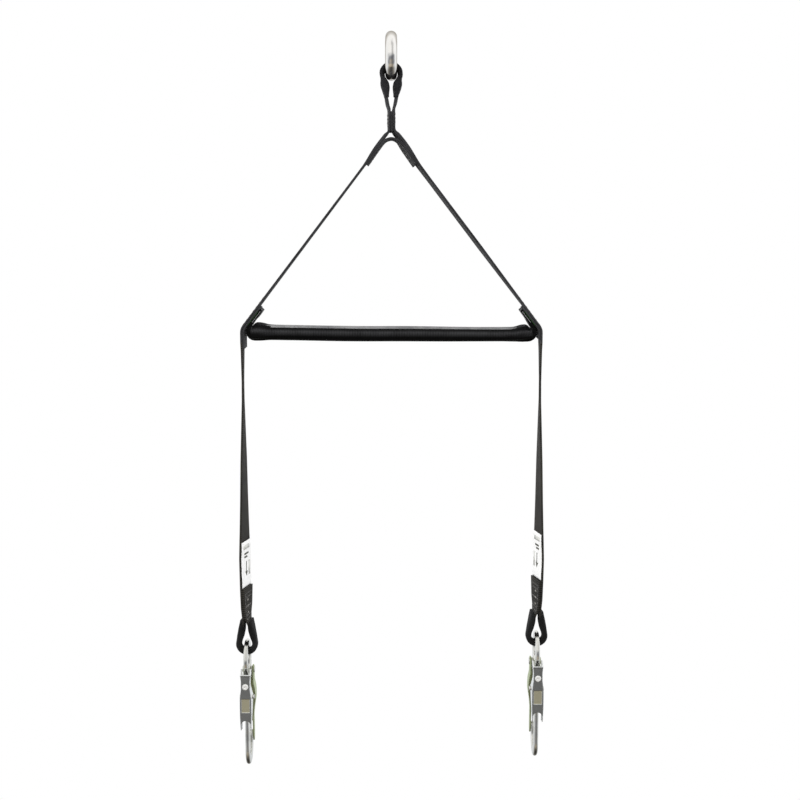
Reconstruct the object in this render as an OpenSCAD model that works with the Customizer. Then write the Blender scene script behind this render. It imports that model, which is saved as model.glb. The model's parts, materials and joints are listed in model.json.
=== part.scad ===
// Lifting yoke: a ring, a sewn webbing yoke held open by a spreader bar, and two
// hanging legs that each end in a double-action snap hook.
// Millimetres. +Z is up, +X is to the right, +Y is away from the viewer.
// The origin is the centre of the lifting ring. The levers face -Y, the gates +Y.

/* [Ring] */
// Outside diameter of the lifting ring
ring_outside = 50; // [49:1:70]
// Thickness of the round bar of the ring
ring_bar = 12.3; // [10:0.1:12.5]

/* [Webbing] */
// Width of the flat webbing
web_w = 27; // [24:1:32]
// Thickness of one layer of webbing
ply = 2.2; // [1.8:0.1:2.4]
// Width of the webbing where it gathers inside the ring and the hook eyes
gathered_w = 15; // [12:1:15]

/* [Yoke] */
// Distance from the ring's centre down to the crotch where the legs part
crotch_drop = 76; // [76:1:110]
// Distance between the middles of the two hanging legs
leg_span = 313.8; // [260:0.2:380]
// Distance from the ring's centre down to the middle of the spreader bar
bar_drop = 285.5; // [260:0.5:340]
// Diameter of the spreader bar with its cover
bar_cover_d = 16.2; // [15:0.1:18]

/* [Hanging legs] */
// Distance from the spreader bar down to the eye of the right hook
leg_drop = 327.5; // [260:0.5:420]
// How much longer the left leg hangs than the right one
left_leg_extra = 9.5; // [0:0.5:20]

/* [Hooks] */
// Thickness of the steel plate of the hooks
hook_t = 4.8; // [4.4:0.1:5]
// How far a gate's sheet-metal cheek bulges from the middle of the hook
gate_bulge = 7.2; // [6.8:0.1:7.4]

/* [Hidden] */
$fn = 32;

LEFT = -1;
RIGHT = 1;
SKIN = 0.05; // the air left between two layers that lie on each other

// finishes
STEEL = [0.78, 0.76, 0.71];
ZINC = [0.58, 0.59, 0.56];
OLIVE = [0.56, 0.60, 0.47];
CHARCOAL = [0.24, 0.24, 0.25];
SLEEVE_BLACK = [0.17, 0.17, 0.18];
COVER_BLACK = [0.09, 0.09, 0.09];
THREAD_GREY = [0.34, 0.33, 0.32];
LABEL_WHITE = [0.93, 0.92, 0.90];
PLUG_GREY = [0.35, 0.35, 0.35];
ALUMINIUM = [0.75, 0.76, 0.77];

// ring
ring_mean = (ring_outside - ring_bar) / 2;
ring_gap = 0.12;
ring_pivot_z = -ring_mean;

// sewn loops: a sleeve wall, the webbing, and a thicker outer sleeve wall
sleeve_inner = 1.35;
sleeve_outer = 1.55;
sleeve_edge = 1.2;
layer_near = sleeve_inner + SKIN * 2;
layer_far = layer_near + ply;
sleeve_far = layer_far + SKIN * 2 + sleeve_outer;

// neck
core_t = 2.3;
neck_face = core_t / 2 + SKIN;
neck_top_z = -53.5;
neck_foot_z = -crotch_drop + 2.7;
top_sleeve_end = 21.5;

// upper legs run straight from the crotch to a bend at the bar's end
leg_x = leg_span / 2;
bend_r = 10;
bend_z = -bar_drop + 2.6;
bend_x = leg_x - bend_r;
leg_start = [1.3, -crotch_drop];
to_bend = [bend_x - leg_start[0], bend_z - leg_start[1]];
to_bend_length = norm(to_bend);
leg_lean = atan(to_bend[0] / -to_bend[1]) + asin(bend_r / to_bend_length);
leg_length = sqrt(to_bend_length * to_bend_length - bend_r * bend_r);
leg_hinge_z = -bar_drop - 17;
leg_foot_z = leg_hinge_z + ply / 2 + 0.15;
doubler_rise = 26;

// crotch strap
crotch_strap_r = 7;
crotch_strap_run = 34;

// spreader bar
tube_r = 6.35;
tube_wall = 1.6;
tube_half = leg_x - 11.5;
plug_flange = 2;
plug_stem = 8;
cover_half = leg_x - 4.7;
cover_hollow_r = tube_r + 0.1;
cover_hollow_half = tube_half + plug_flange + 0.3;
cover_bulge_r = bar_cover_d / 2 + 1.4;
tab_t = 1.6;
tab_rise = 25;

// hanging legs, measured up from the middle of the hook's eye bar
fold_x = ply / 2 + SKIN;
loop_merge = 29.1;
loop_sleeve_end = 21;
tail_top = 63;
label_foot = 63.8;
label_h = 50.6;
label_w = 25;
label_t = 0.5;
straight_top = label_foot + label_h + 2;
tack_w = 22;
tack_h = 2;
tack_t = 0.6;

// hook, measured from the middle of its eye bar: [depth, height]
eye_r = 20.5;
eye_bar = 9;
eye_mean = eye_r - eye_bar / 2;
eye_gap = 0.35;
bowl_r = 11;
bowl_bar = 9.5;
bowl_mean = bowl_r + bowl_bar / 2;
bowl_at = [7, -118];
spine_y = bowl_at[0] - bowl_mean;
spine_top_z = -62;
nose_top_z = -106;
gate_at = [12, -33];
lock_at = [spine_y, -57];
gate_boss_r = 5.4;
lock_boss_r = 5;

// gate and its rivet
gate_sheet = 1.3;
gate_neck = hook_t / 2 + 3.2;
gate_tip = hook_t / 2 + gate_sheet + 0.4;
gate_rivet_r = 2.2;
gate_head_r = 3.7;
gate_head_t = 0.9;
running_gap = 0.05;

// lever, its pin and its rivet
lever_half = 6.2;
lever_waist = 4.8;
lever_sheet = 1.3;
lever_face_y = -25;
lever_top_z = -28.6;
lever_arch_z = -78.6;
lever_horn_z = -89.5;
lever_rim_r = 1.1;
lock_pin_r = 1.7;
lock_head_r = 2.4;
lock_head_t = 1.45;
lever_rivet_z = lever_top_z - 12.3;
lever_rivet_r = 1.6;

// springs
spring_wire_r = 0.6;
spring_x = hook_t / 2 + 0.3 + spring_wire_r;

function eye_z(side) = -bar_drop - leg_drop - (side == LEFT ? left_leg_extra : 0);

// points of a path moved sideways; a path holds [x, z, direction of its outer side]
function shifted(path, by) =
    [for (p = path) [p[0] + by * cos(p[2]), p[1] + by * sin(p[2])]];
function reversed(list) = [for (i = [len(list) - 1:-1:0]) list[i]];

// the stretch of a straight run from a circle to a point below it, and its lean in
// whole hundredths of a degree, so that the run and the turn above it meet exactly
function run_length(r, x, drop) = sqrt(x * x + drop * drop - r * r);
function run_lean(r, x, drop) =
    round(100 * (asin(r / norm([x, drop])) - atan(x / drop))) / 100;

// a point on an upper leg's middle, a distance up from the start of its bend
function leg_point(rise) = [
    bend_x + bend_r * cos(leg_lean) - rise * sin(leg_lean),
    bend_z + bend_r * sin(leg_lean) + rise * cos(leg_lean),
    leg_lean
];
function bend_path(steps) = [
    for (i = [0:steps])
        let (a = leg_lean * (1 - i / steps))
        [bend_x + bend_r * cos(a), bend_z + bend_r * sin(a), a]
];
function leg_path(rise, foot_z) =
    concat([leg_point(rise)], bend_path(6), [[leg_x, foot_z, 0]]);

// runs an outline of [x, z] from front to back
module across(width) {
    rotate([90, 0, 0])
        linear_extrude(width, center = true)
            children();
}

// runs an outline of [y, z] from side to side
module edgewise(thickness) {
    rotate([90, 0, 90])
        linear_extrude(thickness, center = true)
            children();
}

// a round bar lying from side to side at a [y, z] point
module cross_bar(at, r, length) {
    translate([0, at[0], at[1]])
        rotate([0, 90, 0])
            cylinder(r = r, h = length, center = true);
}

// the outline of a layer that follows a path
module layer(path, inner, outer) {
    polygon(concat(shifted(path, outer), reversed(shifted(path, inner))));
}

// the section of a bar: its inner corners are taken off, its outer side is round
module bar_section(w, h, corner) {
    round_r = h / 2;
    near = corner * 0.3;
    inner = [
        [-w / 2 + corner, h / 2],
        [-w / 2 + near, h / 2 - near],
        [-w / 2, h / 2 - corner]
    ];
    polygon(concat(inner, reversed([for (p = inner) [p[0], -p[1]]]), [
        [w / 2 - round_r, -h / 2],
        [w / 2 - round_r, h / 2]
    ]));
    translate([w / 2 - round_r, 0])
        circle(round_r);
}

// the cupped section that webbing takes inside a ring: one layer of it
module cupped_layer(mean_r, bar, gap, near, far, width) {
    hole_r = mean_r - bar / 2 - gap;
    intersection() {
        difference() {
            translate([mean_r + near, 0])
                circle(hole_r);
            translate([mean_r + far, 0])
                circle(hole_r);
        }
        translate([0, -width / 2])
            square([mean_r, width]);
    }
}

// wraps a section over a bar and runs both its arms down, leaning together
module wrap(lean, run) {
    rotate([90, 0, 0]) {
        rotate([0, 0, -lean])
            rotate_extrude(angle = 180 + 2 * lean)
                children();
        for (side = [0, 1])
            mirror([side, 0, 0])
                rotate([0, 0, -lean])
                    rotate([90, 0, 0])
                        linear_extrude(run)
                            children();
    }
}

module webbing_wrap(mean_r, bar, gap, end_x, drop) {
    middle = bar / 2 + gap + layer_near + ply / 2;
    wrap(run_lean(middle, end_x, drop), run_length(middle, end_x, drop))
        cupped_layer(mean_r, bar, gap, layer_near, layer_far, gathered_w);
}

module sleeve_wrap(mean_r, bar, gap, end_x, drop, run) {
    middle = bar / 2 + gap + layer_near + ply / 2;
    channel = SKIN * 2;
    wrap(run_lean(middle, end_x, drop), run)
        difference() {
            cupped_layer(mean_r, bar, gap, 0, sleeve_far, gathered_w + sleeve_edge * 2);
            cupped_layer(mean_r, bar, gap, layer_near - channel, layer_far + channel,
                gathered_w + channel * 2);
        }
}

module lifting_ring() {
    color(STEEL)
        rotate([0, 90, 0])
            rotate_extrude($fn = 48)
                translate([ring_mean, 0])
                    circle(ring_bar / 2, $fn = 24);
}

module top_loop_webbing() {
    end_x = neck_face + ply / 2;
    drop = ring_pivot_z - neck_top_z;
    color(CHARCOAL) {
        translate([0, 0, ring_pivot_z])
            webbing_wrap(ring_mean, ring_bar, ring_gap, end_x, drop);
        for (side = [LEFT, RIGHT])
            translate([side * end_x, 0, 0])
                across(web_w)
                    translate([-ply / 2, neck_foot_z])
                        square([ply, neck_top_z + 1 - neck_foot_z]);
    }
}

module top_loop_sleeve() {
    color(SLEEVE_BLACK)
        translate([0, 0, ring_pivot_z])
            sleeve_wrap(ring_mean, ring_bar, ring_gap, neck_face + ply / 2,
                ring_pivot_z - neck_top_z, top_sleeve_end);
}

module neck_core_ply() {
    color(CHARCOAL)
        across(web_w)
            translate([-core_t / 2, neck_foot_z])
                square([core_t, neck_top_z - 3 - neck_foot_z]);
}

// one short bar of thread lying on a layer's face, which points along +X
module tack() {
    translate([SKIN + tack_t / 2, 0, 0])
        cube([tack_t, tack_w, tack_h], center = true);
}

module neck_stitching() {
    rows = 3;
    pitch = 7;
    face = neck_face + ply;
    color(THREAD_GREY)
        for (side = [0, 1], i = [0:rows - 1])
            mirror([side, 0, 0])
                translate([face, 0, neck_foot_z + 4 + i * pitch])
                    tack();
}

module crotch_strap() {
    gap = ply + SKIN * 2 + crotch_strap_r;
    middle_z = leg_start[1]
        + (leg_start[0] * cos(leg_lean) - gap) / sin(leg_lean);
    arc_steps = 10;
    sweep = 180 - 2 * leg_lean;
    arc = [
        for (i = [0:arc_steps])
            let (a = 180 - leg_lean - sweep * i / arc_steps)
            [crotch_strap_r * cos(a), middle_z + crotch_strap_r * sin(a), a]
    ];
    foot = [
        crotch_strap_r * cos(leg_lean) + crotch_strap_run * sin(leg_lean),
        middle_z + crotch_strap_r * sin(leg_lean) - crotch_strap_run * cos(leg_lean)
    ];
    path = concat(
        [[-foot[0], foot[1], 180 - leg_lean]],
        arc,
        [[foot[0], foot[1], leg_lean]]
    );
    color(CHARCOAL)
        across(web_w)
            layer(path, -ply / 2, ply / 2);
}

module upper_leg(side) {
    color(CHARCOAL)
        scale([side, 1, 1])
            across(web_w)
                layer(leg_path(leg_length, leg_foot_z), -ply / 2, ply / 2);
}

// the left doubler reaches below the bar, the right one ends beside it
module leg_doubler(side) {
    outer = -ply / 2 - SKIN;
    foot_z = side == LEFT ? leg_hinge_z + 2 : leg_hinge_z + 12;
    color(CHARCOAL)
        scale([side, 1, 1])
            across(web_w)
                layer(leg_path(doubler_rise, foot_z), outer - ply, outer);
}

module spreader_tube() {
    color(ALUMINIUM)
        translate([0, 0, -bar_drop])
            difference() {
                cross_bar([0, 0], tube_r, tube_half * 2);
                cross_bar([0, 0], tube_r - tube_wall, tube_half * 2 + 2);
            }
}

module tube_end_plugs() {
    stem_r = tube_r - tube_wall - SKIN;
    color(PLUG_GREY)
        for (side = [0, 1])
            mirror([side, 0, 0])
                translate([tube_half + SKIN, 0, -bar_drop])
                    rotate([0, 90, 0]) {
                        cylinder(r = tube_r, h = plug_flange);
                        translate([0, 0, -plug_stem])
                            cylinder(r = stem_r, h = plug_stem);
                    }
}

// the cover's tube with its bulging ends; each end turns up into a flat tab
module bar_cover() {
    r = bar_cover_d / 2;
    half = [
        [r, 0],
        [r, cover_half - 17],
        [r + 0.9, cover_half - 13],
        [cover_bulge_r, cover_half - 9],
        [cover_bulge_r, cover_half - 5],
        [r, cover_half - 1.6],
        [r - 2.8, cover_half],
        [0, cover_half],
        [0, cover_hollow_half],
        [cover_hollow_r, cover_hollow_half],
        [cover_hollow_r, 0]
    ];
    outer = -ply * 1.5 - SKIN * 2;
    tab_path = concat([leg_point(tab_rise)], bend_path(6));
    color(COVER_BLACK)
        for (side = [0, 1])
            mirror([side, 0, 0]) {
                translate([0, 0, -bar_drop])
                    rotate([0, 90, 0])
                        rotate_extrude()
                            polygon(half);
                across(web_w)
                    layer(tab_path, outer - tab_t, outer);
            }
}

module bar_end_stitching() {
    rows = 2;
    pitch = 10;
    color(THREAD_GREY)
        for (side = [0, 1], i = [0:rows - 1])
            mirror([side, 0, 0])
                translate([leg_point(6 + i * pitch)[0], 0, leg_point(6 + i * pitch)[1]])
                    rotate([0, -leg_lean, 0])
                        translate([ply / 2, 0, 0])
                            tack();
}

// a hanging leg: its strap, folded round the hook's eye and sewn back on itself
module lower_leg(side) {
    top = leg_hinge_z - eye_z(side);
    main_path = [[0, top, 0], [fold_x, straight_top, 0], [fold_x, loop_merge - 1, 0]];
    color(CHARCOAL)
        translate([side * leg_x, 0, eye_z(side)])
            scale([side, 1, 1]) {
                across(web_w) {
                    layer(main_path, -ply / 2, ply / 2);
                    translate([0, top])
                        circle(ply / 2);
                    translate([-fold_x - ply / 2, loop_merge - 1])
                        square([ply, tail_top - loop_merge + 1]);
                }
                mirror([0, 0, 1])
                    webbing_wrap(eye_mean, eye_bar, eye_gap, fold_x, loop_merge);
            }
}

module loop_sleeve(side) {
    color(SLEEVE_BLACK)
        translate([side * leg_x, 0, eye_z(side)])
            mirror([0, 0, 1])
                sleeve_wrap(eye_mean, eye_bar, eye_gap, fold_x, loop_merge,
                    loop_sleeve_end);
}

module fold_stitching(side) {
    rows = 4;
    pitch = 8;
    color(THREAD_GREY)
        translate([side * leg_x, 0, eye_z(side)])
            for (face = [0, 1], i = [0:rows - 1])
                mirror([face, 0, 0])
                    translate([fold_x + ply / 2, 0, loop_merge + 6 + i * pitch])
                        tack();
}

module label(side) {
    face_x = side * (leg_x + fold_x - ply / 2 - SKIN - label_t / 2);
    color(LABEL_WHITE)
        translate([face_x, 0, eye_z(side) + label_foot + label_h / 2])
            cube([label_t, label_w, label_h], center = true);
}

// puts a hook's part below the eye of a hanging leg
module at_hook(side) {
    translate([side * leg_x, 0, eye_z(side)])
        children();
}

module hook_eye() {
    translate([0, 0, -eye_mean])
        rotate([0, 90, 0])
            rotate_extrude($fn = 48)
                translate([eye_mean, 0])
                    bar_section(eye_bar, hook_t, 1.8);
}

module hook_bowl() {
    corner = 1.1;
    translate([0, bowl_at[0], bowl_at[1]]) {
        rotate([0, 90, 0])
            rotate([0, 0, -90])
                rotate_extrude(angle = 180, $fn = 48)
                    translate([bowl_mean, 0])
                        bar_section(bowl_bar, hook_t, corner);
        translate([0, -bowl_mean, 0])
            linear_extrude(spine_top_z - bowl_at[1])
                rotate([0, 0, -90])
                    bar_section(bowl_bar, hook_t, corner);
        intersection() {
            translate([0, bowl_mean, 0])
                linear_extrude(nose_top_z - bowl_at[1])
                    rotate([0, 0, 90])
                        bar_section(bowl_bar, hook_t, corner);
            edgewise(hook_t * 2)
                nose_outline();
        }
    }
}

// the nose seen from the side, measured from the bowl's centre
module nose_outline() {
    inner = bowl_r;
    outer = bowl_r + bowl_bar;
    tip = nose_top_z - bowl_at[1];
    polygon([
        [inner, 0],
        [outer, 0],
        [outer, tip - 9],
        [outer - 1.5, tip - 2.5],
        [outer - 4, tip],
        [inner + 2.2, tip],
        [inner + 0.6, tip - 1.8],
        [inner, tip - 5]
    ]);
}

// the plate that joins the eye to the spine and carries both pivots
module hook_shoulder() {
    spine_outer = spine_y - bowl_bar / 2;
    spine_inner = spine_y + bowl_bar / 2;
    edgewise(hook_t) {
        polygon([
            [-17.8, -25],
            [-17, -36],
            [spine_outer - 2, -48],
            [spine_outer, -66],
            [spine_inner, -72],
            [spine_inner + 1.4, -64],
            [spine_inner + 5, -57],
            [gate_at[0] - 3, gate_at[1] - 17],
            [gate_at[0] + 1, gate_at[1] - 8],
            [gate_at[0] + 4.6, gate_at[1] - 2.5],
            [17.8, -25],
            [10, -31.5],
            [0, -33],
            [-10, -31.5]
        ]);
        translate(gate_at)
            circle(gate_boss_r);
        translate(lock_at)
            circle(lock_boss_r);
    }
}

module hook_body(side) {
    color(ZINC)
        at_hook(side)
            difference() {
                union() {
                    hook_eye();
                    hook_bowl();
                    hook_shoulder();
                }
                cross_bar(gate_at, gate_rivet_r + SKIN, hook_t * 2);
                cross_bar(lock_at, lock_pin_r + SKIN, hook_t * 2);
            }
}

// the gate seen from the front, measured from its pivot: narrow, bulged, narrow
module gate_front(inset) {
    half = [
        [gate_neck - inset, 8],
        [gate_neck - inset, -13],
        [gate_bulge - 0.3 - inset, -20],
        [gate_bulge - inset, -26],
        [gate_bulge - 0.2 - inset, -34],
        [gate_tip + 1 - inset, -46],
        [gate_tip - inset, -56],
        [gate_tip - inset, -90]
    ];
    polygon(concat(half, reversed([for (p = half) [-p[0], p[1]]])));
}

module gate_side() {
    polygon([
        [-4.3, 3],
        [-1.8, 4.9],
        [1.8, 4.9],
        [4.6, 2.6],
        [6.2, -5],
        [10.4, -30],
        [14.2, -60],
        [15.2, -74],
        [14.8, -82],
        [12.6, -85.4],
        [9.4, -85],
        [7.2, -80],
        [3.6, -56],
        [-3.4, -34],
        [-6.4, -24],
        [-6.6, -14],
        [-5.6, -4]
    ]);
}

// the strip that joins the gate's two cheeks along their outer edges
module gate_web() {
    polygon([
        [5, -9],
        [6.9, -9],
        [10.4, -30],
        [14.2, -60],
        [14.5, -64],
        [12.9, -64],
        [8.8, -30]
    ]);
}

module gate(side) {
    depth = 80;
    color(OLIVE)
        at_hook(side)
            translate([0, gate_at[0], gate_at[1]])
                difference() {
                    union() {
                        intersection() {
                            edgewise(gate_bulge * 3)
                                gate_side();
                            across(depth)
                                difference() {
                                    gate_front(0);
                                    gate_front(gate_sheet);
                                }
                        }
                        intersection() {
                            edgewise(gate_bulge * 3)
                                gate_web();
                            across(depth)
                                gate_front(0);
                        }
                    }
                    cross_bar([0, 0], gate_rivet_r + running_gap, gate_bulge * 4);
                }
}

module gate_rivet(side) {
    head_x = gate_neck + SKIN + gate_head_t / 2;
    color(ZINC)
        at_hook(side) {
            cross_bar(gate_at, gate_rivet_r, head_x * 2);
            for (x = [-head_x, head_x])
                translate([x, 0, 0])
                    cross_bar(gate_at, gate_head_r, gate_head_t);
        }
}

// a coil on each side of the hook's plate, with one leg lying along the plate
module torsion_spring(at, coil_r, leg_angle, leg_length) {
    for (side = [0, 1])
        mirror([side, 0, 0])
            translate([spring_x, at[0], at[1]])
                rotate([0, 90, 0]) {
                    rotate_extrude($fn = 24)
                        translate([coil_r, 0])
                            circle(spring_wire_r, $fn = 14);
                    rotate([0, 0, leg_angle])
                        translate([coil_r, 0, 0])
                            rotate([90, 0, 0])
                                cylinder(r = spring_wire_r * 0.9, h = leg_length, $fn = 14);
                }
}

module gate_spring(side) {
    color(STEEL)
        at_hook(side)
            torsion_spring(gate_at, gate_rivet_r + 1.2, 30, 9);
}

module lock_spring(side) {
    color(STEEL)
        at_hook(side)
            torsion_spring(lock_at, lock_pin_r + 1.3, 200, 8);
}

// the lever seen from the front: narrow at its waist, wide at its grip
module lever_front(inset) {
    half = [
        [lever_waist + 0.5 - inset, lever_top_z],
        [lever_waist - inset, lever_top_z - 6],
        [lever_waist - inset, lever_top_z - 14],
        [lever_half - inset, lever_top_z - 26],
        [lever_half - inset, lever_arch_z + 6],
        [lever_half - 0.6 - inset, lever_horn_z]
    ];
    polygon(concat(half, reversed([for (p = half) [-p[0], p[1]]])));
}

// the lever seen from the side
module lever_side() {
    y = lever_face_y;
    polygon([
        [y, lever_top_z],
        [y + 9, lever_top_z + 4.4],
        [y + 10.4, lever_top_z + 3.4],
        [y + 9.8, -40],
        [lock_at[0] + 1, lock_at[1] + 5],
        [lock_at[0] + 4.2, lock_at[1] + 2],
        [lock_at[0] + 4.2, lock_at[1] - 2],
        [lock_at[0] + 1, lock_at[1] - 5.4],
        [y + 10.6, -74],
        [y + 6.4, lever_horn_z],
        [y + 1.2, lever_horn_z],
        [y, lever_horn_z + 5]
    ]);
}

// what is cut out of the lever's face: the arch at its foot and a shallow panel
module lever_cuts() {
    arch_r = lever_half - lever_sheet;
    panel = [8.8, 15.2];
    panel_depth = 0.5;
    panel_top_z = -54.3;
    depth = 12;
    translate([0, lever_face_y, 0])
        across(depth) {
            translate([0, lever_arch_z - arch_r])
                circle(arch_r);
            translate([-arch_r, lever_horn_z - 1])
                square([arch_r * 2, lever_arch_z - arch_r - lever_horn_z + 1]);
        }
    translate([-panel[0] / 2, lever_face_y - 1, panel_top_z - panel[1]])
        cube([panel[0], 1 + panel_depth, panel[1]]);
    translate([0, lever_face_y, lever_rivet_z])
        rotate([90, 0, 0])
            cylinder(r = lever_rivet_r + SKIN, h = depth, center = true);
}

// the rolled rim along the lever's top edge
module lever_rim() {
    x = lever_waist + 0.5 - lever_sheet / 2;
    rise = 4.4;
    run = 9;
    translate([0, lever_face_y + lever_rim_r * 0.7, lever_top_z]) {
        cross_bar([0, 0], lever_rim_r, x * 2);
        for (side = [LEFT, RIGHT])
            translate([side * x, 0, 0]) {
                sphere(lever_rim_r);
                rotate([-atan(run / rise), 0, 0])
                    cylinder(r = lever_rim_r, h = norm([rise, run]) - 0.6);
            }
    }
}

module lock_lever(side) {
    depth = 100;
    color(ZINC)
        at_hook(side)
            difference() {
                union() {
                    intersection() {
                        edgewise(lever_half * 3)
                            lever_side();
                        across(depth)
                            difference() {
                                lever_front(0);
                                lever_front(lever_sheet);
                            }
                    }
                    intersection() {
                        translate([0, lever_face_y + lever_sheet / 2, 0])
                            across(lever_sheet)
                                lever_front(0);
                        edgewise(lever_half * 3)
                            lever_side();
                    }
                    lever_rim();
                }
                lever_cuts();
                cross_bar(lock_at, lock_pin_r + running_gap, lever_half * 4);
            }
}

module lock_pin(side) {
    head_x = lever_half + 0.15 + lock_head_t / 2;
    color(STEEL)
        at_hook(side) {
            cross_bar(lock_at, lock_pin_r, head_x * 2);
            for (x = [-head_x, head_x])
                translate([x, 0, 0])
                    cross_bar(lock_at, lock_head_r, lock_head_t);
        }
}

module lever_rivet(side) {
    head_r = 3.5;
    head_t = 1.2;
    tail_t = 0.8;
    color(STEEL)
        at_hook(side)
            translate([0, lever_face_y - SKIN, lever_rivet_z])
                rotate([90, 0, 0])
                    difference() {
                        union() {
                            cylinder(r1 = head_r, r2 = head_r - 0.7, h = head_t);
                            translate([0, 0, -lever_sheet - SKIN * 2 - tail_t])
                                cylinder(r = lever_rivet_r, h = lever_sheet + 1 + tail_t);
                            translate([0, 0, -lever_sheet - SKIN * 2 - tail_t])
                                cylinder(r = lever_rivet_r + 0.9, h = tail_t);
                        }
                        translate([0, 0, head_t - 0.5])
                            cylinder(r = 1.1, h = 2);
                    }
}

lifting_ring();
top_loop_webbing();
top_loop_sleeve();
neck_core_ply();
neck_stitching();
crotch_strap();
upper_leg(LEFT);  // upper_leg_left
upper_leg(RIGHT);  // upper_leg_right
leg_doubler(LEFT);  // leg_doubler_left
leg_doubler(RIGHT);  // leg_doubler_right
spreader_tube();
tube_end_plugs();
bar_cover();
bar_end_stitching();
lower_leg(LEFT);  // lower_leg_left
lower_leg(RIGHT);  // lower_leg_right
loop_sleeve(LEFT);  // loop_sleeve_left
loop_sleeve(RIGHT);  // loop_sleeve_right
fold_stitching(LEFT);  // fold_stitching_left
fold_stitching(RIGHT);  // fold_stitching_right
label(LEFT);  // label_left
label(RIGHT);  // label_right
hook_body(LEFT);  // hook_body_left
hook_body(RIGHT);  // hook_body_right
gate(LEFT);  // gate_left
gate(RIGHT);  // gate_right
gate_rivet(LEFT);  // gate_rivet_left
gate_rivet(RIGHT);  // gate_rivet_right
gate_spring(LEFT);  // gate_spring_left
gate_spring(RIGHT);  // gate_spring_right
lock_lever(LEFT);  // lock_lever_left
lock_lever(RIGHT);  // lock_lever_right
lock_pin(LEFT);  // lock_pin_left
lock_pin(RIGHT);  // lock_pin_right
lock_spring(LEFT);  // lock_spring_left
lock_spring(RIGHT);  // lock_spring_right
lever_rivet(LEFT);  // lever_rivet_left
lever_rivet(RIGHT);  // lever_rivet_right
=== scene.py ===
"""The looks of the lifting yoke: straps, sleeves, the bar's cover, labels, thread and plated steel."""

import json
import math

import bpy
import numpy as np
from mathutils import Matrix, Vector


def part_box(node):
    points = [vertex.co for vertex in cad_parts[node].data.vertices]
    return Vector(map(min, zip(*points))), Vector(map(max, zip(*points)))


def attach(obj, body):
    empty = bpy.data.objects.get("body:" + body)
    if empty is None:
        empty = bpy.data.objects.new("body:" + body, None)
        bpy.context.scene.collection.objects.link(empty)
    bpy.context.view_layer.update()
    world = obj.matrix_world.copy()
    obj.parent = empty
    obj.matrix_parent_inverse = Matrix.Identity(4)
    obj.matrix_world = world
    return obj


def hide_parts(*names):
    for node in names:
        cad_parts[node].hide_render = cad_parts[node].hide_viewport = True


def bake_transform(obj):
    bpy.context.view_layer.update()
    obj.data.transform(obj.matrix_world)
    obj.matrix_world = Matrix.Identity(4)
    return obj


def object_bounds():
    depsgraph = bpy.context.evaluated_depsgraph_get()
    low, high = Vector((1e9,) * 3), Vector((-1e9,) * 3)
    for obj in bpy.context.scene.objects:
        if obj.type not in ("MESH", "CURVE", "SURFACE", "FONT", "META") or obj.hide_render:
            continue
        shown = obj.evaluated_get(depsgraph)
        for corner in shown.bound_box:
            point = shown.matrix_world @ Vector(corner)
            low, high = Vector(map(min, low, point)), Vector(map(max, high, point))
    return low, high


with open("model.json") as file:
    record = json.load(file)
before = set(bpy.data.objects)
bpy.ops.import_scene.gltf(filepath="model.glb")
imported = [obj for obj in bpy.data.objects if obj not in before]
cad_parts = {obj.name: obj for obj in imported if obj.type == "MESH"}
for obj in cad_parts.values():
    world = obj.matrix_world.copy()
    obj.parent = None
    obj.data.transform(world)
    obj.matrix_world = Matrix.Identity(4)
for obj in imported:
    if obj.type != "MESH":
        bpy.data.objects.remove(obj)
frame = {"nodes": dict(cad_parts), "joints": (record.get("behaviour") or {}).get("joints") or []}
CAD_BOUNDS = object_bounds()

MM = 0.001
LEFT = -1.0
RIGHT = 1.0
SIDES = {"left": LEFT, "right": RIGHT}
STRAP_STEP = 1.5 * MM

# ---------------------------------------------------------------- measures
JOINTS = {j["name"]: j for j in frame["joints"]}


def joint_at(name):
    return np.array(JOINTS[name]["pos_m"], float)


def node_size(node):
    low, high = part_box(node)
    return np.array(high - low)


PLY = 2.2 * MM
SKIN = 0.05 * MM
RING = node_size("lifting_ring")
RING_BAR = RING[0]
RING_PIVOT = joint_at("top_loop_sway")
CROTCH = joint_at("yoke_sway")
WEB_W = node_size("upper_leg_left")[1]
LEG_X = joint_at("right_leg_swing")[0]
BAR_Z = np.mean([c.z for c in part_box("spreader_tube")])
TUBE_R = node_size("spreader_tube")[2] / 2
COVER_CLOTH = 1.65 * MM
COVER_R = TUBE_R + COVER_CLOTH
COVER_RIB = 1.7 * MM
CORE_T = node_size("neck_core_ply")[0]
NECK_X = CORE_T / 2 + SKIN + PLY / 2
NECK_FOOT_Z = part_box("neck_core_ply")[0].z
LOOP_MERGE_Z = -53.5 * MM
LOOP_SEAM_Z = -57 * MM
LOOP_RISE = RING_PIVOT[2] - LOOP_MERGE_Z
NECK_TURN = -3.5
GATHERED_W = 16 * MM
EYE_STRAP_W = 12 * MM
EYE_SLEEVE_W = 14.6 * MM

# the upper leg runs from the crotch, leans out, and bends round the bar's end
CROTCH_HALF = 1.3 * MM
BEND_R = 10 * MM
BEND_RISE = 2.6 * MM
LEG_START = np.array([CROTCH_HALF, CROTCH[2]])
BEND_MID = np.array([LEG_X - BEND_R, BAR_Z + BEND_RISE])
TO_BEND = BEND_MID - LEG_START
LEG_LEAN = math.atan2(TO_BEND[0], -TO_BEND[1]) + math.asin(BEND_R / np.hypot(*TO_BEND))
LEG_DOWN = np.array([math.sin(LEG_LEAN), -math.cos(LEG_LEAN)])
LEG_OUT = np.array([math.cos(LEG_LEAN), math.sin(LEG_LEAN)])
BEND_START = BEND_MID + BEND_R * LEG_OUT
BEND_CORNER_Z = BEND_MID[1] + BEND_R * math.tan(LEG_LEAN / 2)
STRAP_SEAM_Z = BAR_Z - 8.4 * MM

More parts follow.
